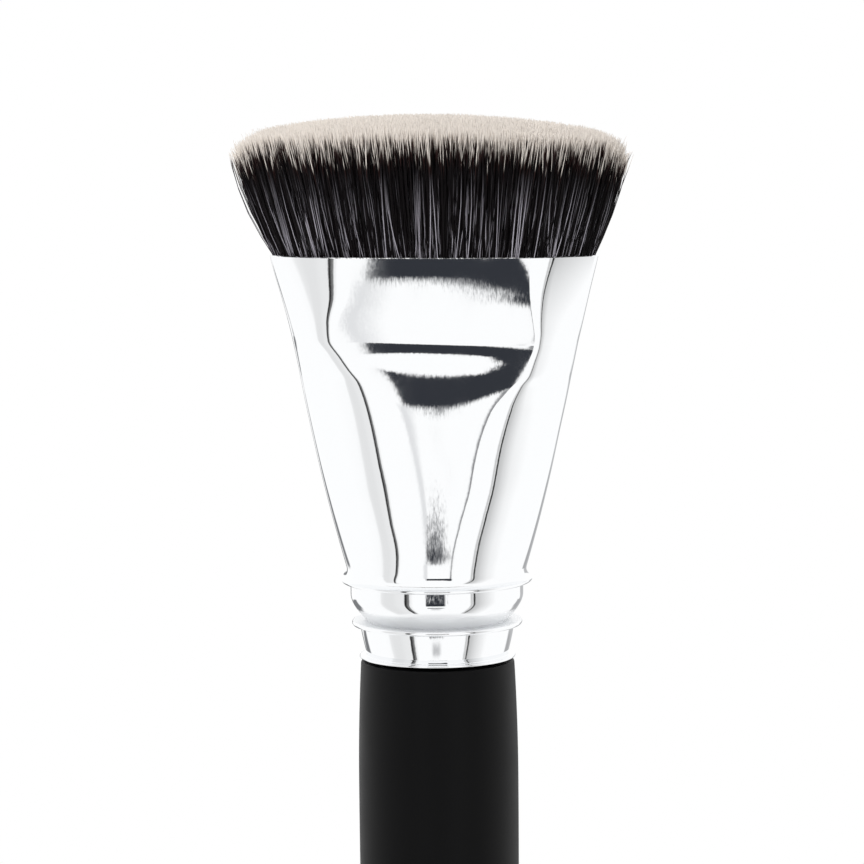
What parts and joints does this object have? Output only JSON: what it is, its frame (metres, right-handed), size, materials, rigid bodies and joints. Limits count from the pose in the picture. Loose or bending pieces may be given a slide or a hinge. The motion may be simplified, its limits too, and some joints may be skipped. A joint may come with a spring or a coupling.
{
  "type": "flat contour brush",
  "caption": "Wide flat make-up brush: splayed two-tone synthetic fibres in a pressed mirror-bright aluminium ferrule, crimped onto a round matt black handle.",
  "frame": {"origin": "middle of the flat end of the handle", "axes": "+Z along the handle to the fibre tips, X along the wide side of the ferrule's mouth, -Y out of the front face"},
  "size_m": [0.0378, 0.0184, 0.1701],
  "materials": {
    "handle_lacquer": "matt black lacquer on turned wood",
    "ferrule_metal": "polished to a mirror, with fine draw scratches",
    "clear_glue": "set glue",
    "root_resin": "cast resin",
    "binding_thread": "wound cotton thread",
    "fibre": "black synthetic fibre with cream tips"
  },
  "bodies": {
    "root": {"handle": "handle_lacquer", "ferrule": "ferrule_metal", "tenon_glue": "clear_glue", "root_resin": "root_resin", "root_binding": "binding_thread", "fibre_lock_1": "fibre", "fibre_lock_2": "fibre", "fibre_lock_3": "fibre", "fibre_lock_4": "fibre", "fibre_lock_5": "fibre", "fibre_lock_6": "fibre", "fibre_lock_7": "fibre", "fibre_lock_8": "fibre"}
  },
  "joints": []
}
